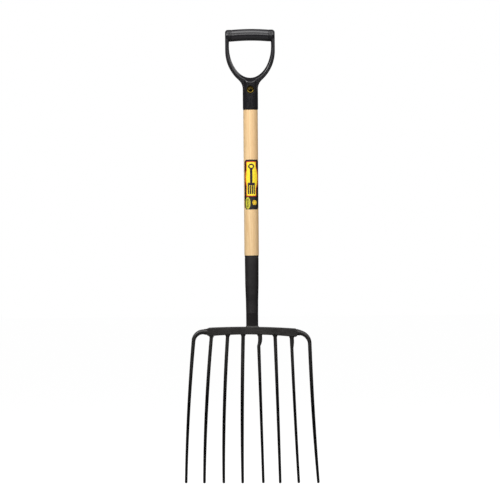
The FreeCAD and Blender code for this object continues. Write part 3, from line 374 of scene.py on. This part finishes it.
def tine_lacquer():
    """Gloss lacquer on forged rods, rubbed thin at the very points, with painted shade that makes
    the lower tines blackest.
    """
    low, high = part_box("left_inner_tine")
    painted_shade_below = low.z + 0.45 * (high.z - low.z)
    bare_below = low.z + 6 * MM
    covered_above = low.z + 16 * MM
    ragged_height = 14 * MM
    bare_strength = 0.15
    bare_metal = 0.6
    ripple_depth = 0.006 * MM
    forge_depth = 0.12 * MM
    shaded_black = srgb(3, 3, 3)
    shaded_lighter = srgb(6, 6, 6)
    upper_black = srgb(26, 25, 24)
    upper_lighter = srgb(34, 32, 30)
    bare_grey = srgb(70, 68, 66)

    paint = Surface("tine_lacquer")
    z = paint.split(paint.place)[2]
    peel = paint.noise(scale=420, detail=2.0)
    forging = paint.long_noise(across=60, along=22, roughness=0.4)
    tone = paint.noise(scale=30, detail=4.0, roughness=0.6)
    above_painted_shade = paint.fade(z, start=painted_shade_below, end=high.z)
    ragged = paint.plus(z, paint.times(paint.noise(scale=260), ragged_height))
    rubbed = paint.fade(ragged, start=covered_above, end=bare_below)
    bare = paint.times(rubbed, bare_strength)

    # Painted shade: the lower tines take near-black copies of the lacquer's colours, which fade up
    # to the true colours higher on the rods.
    deep = paint.mix(above_painted_shade, shaded_black, upper_black)
    light = paint.mix(above_painted_shade, shaded_lighter, upper_lighter)
    colour = paint.mix(paint.spread(tone), deep, light)
    colour = paint.mix(bare, colour, bare_grey)
    return paint.finish(
        base_color=colour,
        metallic=paint.times(bare, bare_metal),
        roughness=paint.spread(tone, low=0.34, high=0.44),
        specular_ior_level=paint.fade(above_painted_shade, start=0.0, end=1.0, low=0.06, high=0.40),
        normal=paint.relief((peel, ripple_depth), (forging, forge_depth)),
    )


# ---------------------------------------------------------------- zinc plate


def yellow_zinc(name, gold, green, rose):
    """Yellow-passivated zinc plate: drifts of three tints over a slightly crystalline skin, with
    painted shade in its grooves.
    """
    groove_shade_brown = srgb(14, 12, 8)
    crystal_depth = 0.03 * MM
    drift_depth = 0.1 * MM

    plate = Surface(name)
    drift = plate.noise(scale=240, distortion=1.0)
    crystal = plate.cells(scale=2600)
    groove_shade = plate.crevice(reach=3.0 * MM)
    colour = plate.mix(plate.fade(drift, start=0.3, end=0.55), gold, green)
    colour = plate.mix(plate.fade(drift, start=0.55, end=0.8), colour, rose)
    # Painted shade: the colour goes dark brown in grooves and hollows, where shade falls.
    colour = plate.mix(groove_shade, colour, groove_shade_brown)
    return plate.finish(
        base_color=colour,
        metallic=1.0,
        roughness=plate.fade(crystal, start=0.0, end=0.6, low=0.14, high=0.26),
        normal=plate.relief((crystal, crystal_depth), (drift, drift_depth)),
    )


def washer_zinc():
    return yellow_zinc(
        "washer_zinc", gold=srgb(118, 90, 26), green=srgb(92, 78, 30), rose=srgb(96, 56, 24)
    )


def screw_zinc():
    """The washer's plate, darkened."""
    return yellow_zinc(
        "screw_zinc", gold=srgb(58, 46, 18), green=srgb(42, 38, 18), rose=srgb(52, 32, 16)
    )


# ---------------------------------------------------------------- label


class Print(Surface):
    """A material drawn on a cylinder: along is the way round it, up is the height on it.

    Its boxes and ovals are given by their middle, along and up, and by half of each size.
    """

    def __init__(self, name, radius, middle_height):
        super().__init__(name)
        x, y, z = self.split(self.place)
        angle = self.calc("ARCTAN2", x, self.times(y, -1.0))
        self.along = self.times(angle, radius)
        self.up = self.minus(z, middle_height)
        self.colour = None

    def reach(self, value, middle, half):
        """How far value is from the middle, as a share of half."""
        return self.calc("DIVIDE", self.calc("ABSOLUTE", self.minus(value, middle)), half)

    def box(self, along, up, half_wide, half_high):
        wide = self.reach(self.along, along, half_wide)
        high = self.reach(self.up, up, half_high)
        return self.calc("LESS_THAN", self.calc("MAXIMUM", wide, high), 1.0)

    def oval(self, along, up, half_wide, half_high):
        wide = self.reach(self.along, along, half_wide)
        high = self.reach(self.up, up, half_high)
        return self.calc("LESS_THAN", self.squares(wide, high), 1.0)

    def either(self, *shapes):
        total = shapes[0]
        for shape in shapes[1:]:
            total = self.calc("MAXIMUM", total, shape)
        return total

    def without(self, shape, hole):
        return self.times(shape, self.minus(1.0, hole))

    def ink(self, shape, colour):
        self.colour = self.mix(shape, self.colour, colour)


def inset(shape, edge):
    """The same box or oval, smaller by this much all round."""
    return dict(shape, half_wide=shape["half_wide"] - edge, half_high=shape["half_high"] - edge)


def label_print():
    """A generic printed label: a framed yellow panel with a plain fork, an oval and a disc."""
    black = srgb(24, 22, 25)
    faded_black = srgb(31, 29, 31)
    wrinkle_depth = 0.08 * MM
    paper_depth = 0.01 * MM
    shaft_low, shaft_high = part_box("handle_shaft")
    low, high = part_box("label")
    radius = (shaft_high.x - shaft_low.x) / 2
    height = high.z - low.z

    sheet = Print("printed_label", radius, (low.z + high.z) / 2)
    sheet.colour = sheet.mix(sheet.noise(scale=300, detail=2.0), black, faded_black)
    draw_panel(sheet, height)
    draw_seal(sheet, height)
    draw_disc(sheet, height)
    wrinkle = sheet.noise(scale=120)
    paper = sheet.noise(scale=2400, detail=2.0)
    return sheet.finish(
        base_color=sheet.colour,
        roughness=sheet.spread(wrinkle, low=0.33, high=0.42),
        coat_weight=0.25,
        coat_roughness=0.2,
        normal=sheet.relief((paper, paper_depth), (wrinkle, wrinkle_depth)),
    )


def draw_panel(sheet, height):
    """A yellow panel with rounded sides, a red border and a fork sign."""
    red = srgb(190, 44, 24)
    gold = srgb(226, 160, 48)
    yellow = srgb(250, 222, 48)
    border = 2.0 * MM
    gold_rim = 2.5 * MM
    panel = {
        "along": 0.5 * MM,
        "up": 0.125 * height - 1.5 * MM,
        "half_wide": 14.6 * MM,
        "half_high": 0.352 * height,
    }
    belly = {
        "along": 2.3 * MM,
        "up": 0.135 * height,
        "half_wide": 20.6 * MM,
        "half_high": 0.272 * height,
    }
    inner_panel = sheet.box(**inset(panel, border))
    inner_belly = sheet.oval(**inset(belly, border + gold_rim))
    sheet.ink(sheet.either(sheet.box(**panel), sheet.oval(**belly)), red)
    sheet.ink(sheet.oval(**inset(belly, border)), gold)
    sheet.ink(sheet.either(inner_panel, inner_belly), yellow)
    draw_fork(sheet, panel)


def draw_fork(sheet, panel):
    """A plain upright fork sign in the middle of the panel."""
    plum_black = srgb(38, 22, 36)
    margin = 6 * MM
    grip_half_high = 7.5 * MM
    tine_length = 27 * MM
    tine_gap = 5.2 * MM
    middle = panel["along"]
    top = panel["up"] + panel["half_high"] - margin
    foot = panel["up"] - panel["half_high"] + margin
    grip_up = top - grip_half_high
    shaft_top = grip_up - 5 * MM
    shoulder = foot + tine_length
    shaft_up = (shoulder + shaft_top) / 2
    shaft_half_high = (shaft_top - shoulder) / 2

    grip = sheet.oval(middle, grip_up, half_wide=8.2 * MM, half_high=grip_half_high)
    opening = sheet.oval(middle, grip_up, half_wide=4.2 * MM, half_high=3.6 * MM)
    shaft = sheet.box(middle, shaft_up, half_wide=3.4 * MM, half_high=shaft_half_high)
    bar = sheet.box(middle, shoulder, half_wide=9.4 * MM, half_high=3.2 * MM)
    tines = []
    for gaps in (-1.5, -0.5, 0.5, 1.5):
        along = middle + gaps * tine_gap
        tine_up = foot + tine_length / 2
        tine = sheet.box(along, tine_up, half_wide=1.9 * MM, half_high=tine_length / 2)
        tines.append(tine)
    sheet.ink(sheet.either(sheet.without(grip, opening), shaft, bar, *tines), plum_black)


def draw_seal(sheet, height):
    """A pale oval with a dark ring and a column of short bars."""
    pale_yellow = srgb(222, 214, 66)
    inner_yellow = srgb(214, 206, 60)
    ink_black = srgb(30, 28, 18)
    rim = 1.5 * MM
    ring = 0.8 * MM
    bar_pitch = 3.0 * MM
    seal = {
        "along": -9.4 * MM,
        "up": -0.373 * height,
        "half_wide": 7.0 * MM,
        "half_high": 0.122 * height,
    }
    sheet.ink(sheet.oval(**seal), pale_yellow)
    sheet.ink(sheet.oval(**inset(seal, rim)), ink_black)
    sheet.ink(sheet.oval(**inset(seal, rim + ring)), inner_yellow)
    for step in range(-3, 4):
        up = seal["up"] + step * bar_pitch
        bar = sheet.box(seal["along"], up, half_wide=2.6 * MM, half_high=0.95 * MM)
        sheet.ink(bar, ink_black)


def draw_disc(sheet, height):
    """A small yellow disc with a darker ring."""
    outer_yellow = srgb(238, 196, 44)
    brown = srgb(150, 104, 26)
    inner_yellow = srgb(244, 206, 62)
    radius = 6.4 * MM
    rim = 1.9 * MM
    ring = 1.0 * MM
    disc = {
        "along": 9.4 * MM,
        "up": -0.362 * height,
        "half_wide": radius,
        "half_high": radius,
    }
    sheet.ink(sheet.oval(**disc), outer_yellow)
    sheet.ink(sheet.oval(**inset(disc, rim)), brown)
    sheet.ink(sheet.oval(**inset(disc, rim + ring)), inner_yellow)


# ---------------------------------------------------------------- putting surfaces on pieces


def surface_pieces():
    """Give every piece its material. A piece that the list leaves out is a tine."""
    head_black = head_enamel()
    ferrule_black = ferrule_enamel()
    hand_black = hand_grip_plastic()
    lacquer = tine_lacquer()
    surfaces = {
        "handle_shaft": ash_wood(),
        "label": label_print(),
        "ferrule": ferrule_black,
        "ferrule_rivet": ferrule_black,
        "ferrule_weld": head_black,
        "crossbar": head_black,
        "tine_welds": head_black,
        "grip_yoke": yoke_plastic(),
        "grip_upper_shell": hand_black,
        "grip_lower_shell": hand_black,
        "grip_washer": washer_zinc(),
        "grip_screw": screw_zinc(),
    }
    for name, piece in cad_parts.items():
        for slot in piece.material_slots:
            slot.link = "OBJECT"
            slot.material = surfaces.get(name, lacquer)


# ---------------------------------------------------------------- studio


def pale_floor():
    """A floor at the tine tips. It glows near-white to the camera and is grey to all else."""
    floor_width = 60
    shown_brightness = 0.985
    paper_grey = srgb(96, 96, 96)
    paper_lighter = srgb(104, 104, 103)
    unseen_grey = srgb(120, 120, 120)
    bpy.ops.mesh.primitive_plane_add(size=floor_width, location=(0, 0, cad_low.z))
    floor = bpy.context.object
    floor.name = "studio_floor"
    surface = Surface("floor_paper")
    path = surface.add("ShaderNodeLightPath")
    seen = path.outputs["Is Camera Ray"]
    paper = surface.mix(surface.noise(scale=3.0), paper_grey, paper_lighter)
    surface.finish(
        base_color=surface.mix(seen, unseen_grey, paper),
        roughness=0.9,
        specular_ior_level=0.0,
        emission_color=WHITE,
        emission_strength=surface.times(seen, shown_brightness),
    )
    floor.data.materials.append(surface.material)


def backdrop():
    """White where the camera sees past the fork; dim grey as a source of light."""
    shown_brightness = 1.0
    light_given = 0.06
    world = bpy.data.worlds.new("studio")
    bpy.context.scene.world = world
    world.use_nodes = True
    nodes, links = world.node_tree.nodes, world.node_tree.links
    seen = nodes.new("ShaderNodeBackground")
    ambient = nodes["Background"]
    for node, strength in ((seen, shown_brightness), (ambient, light_given)):
        node.inputs["Color"].default_value = WHITE
        node.inputs["Strength"].default_value = strength
    path = nodes.new("ShaderNodeLightPath")
    blend = nodes.new("ShaderNodeMixShader")
    links.new(path.outputs["Is Camera Ray"], blend.inputs[0])
    links.new(ambient.outputs[0], blend.inputs[1])
    links.new(seen.outputs[0], blend.inputs[2])
    links.new(blend.outputs[0], nodes["World Output"].inputs["Surface"])


def soft_box(name, azimuth, elevation, width, height, radiance, distance=2.6, aim=(0, 0, 0)):
    """A rectangular soft light; azimuth 0 is in front of the fork, negative to the left."""
    data = bpy.data.lights.new(name, "AREA")
    data.shape = "RECTANGLE"
    data.size = width
    data.size_y = height
    data.energy = radiance * math.pi * width * height
    light = bpy.data.objects.new(name, data)
    bpy.context.scene.collection.objects.link(light)
    turn, rise = math.radians(azimuth), math.radians(elevation)
    level = math.cos(rise)
    away = Vector((math.sin(turn) * level, -math.cos(turn) * level, math.sin(rise)))
    light.location = Vector(aim) + away * distance
    light.rotation_euler = (-away).to_track_quat("-Z", "Y").to_euler()


def light_studio():
    """A wide panel in front, one above the grip, a small hard key on the left, and two fills."""
    grip_point = (0, 0, 0.5)
    soft_box("front_panel", azimuth=-14, elevation=45, width=5.0, height=3.0, radiance=2.15)
    soft_box(
        "top_panel",
        azimuth=-10,
        elevation=76,
        width=2.4,
        height=1.2,
        radiance=1.4,
        distance=1.8,
        aim=grip_point,
    )
    soft_box("right_fill", azimuth=52, elevation=36, width=1.8, height=1.8, radiance=2.6)
    soft_box("key", azimuth=-45, elevation=34, width=0.7, height=0.7, radiance=18.0)
    soft_box("back_fill", azimuth=165, elevation=38, width=2.4, height=1.4, radiance=1.1)


def set_camera():
    """Square to the front, far off, rolled a little as a hand-held picture is."""
    tall = cad_high.z - cad_low.z
    frame_height = 1.1016 * tall
    distance = 10.0 * tall
    aside = -0.0009 * tall
    above = 0.0127 * tall
    roll_angle = math.radians(0.4675)
    camera = bpy.data.objects.new("camera", bpy.data.cameras.new("camera"))
    bpy.context.scene.collection.objects.link(camera)
    camera.data.sensor_width = 36.0
    camera.data.lens = camera.data.sensor_width * distance / frame_height
    camera.data.clip_end = 100.0
    middle = (cad_low + cad_high) / 2
    stand = Vector((middle.x + aside, -distance, middle.z + above))
    roll = Matrix.Rotation(roll_angle, 4, "Y")
    facing = Matrix.Rotation(math.radians(90), 4, "X")
    camera.matrix_world = Matrix.Translation(stand) @ roll @ facing
    bpy.context.scene.camera = camera
    bpy.context.scene.view_settings.view_transform = "Standard"


surface_pieces()
pale_floor()
backdrop()
light_studio()
set_camera()
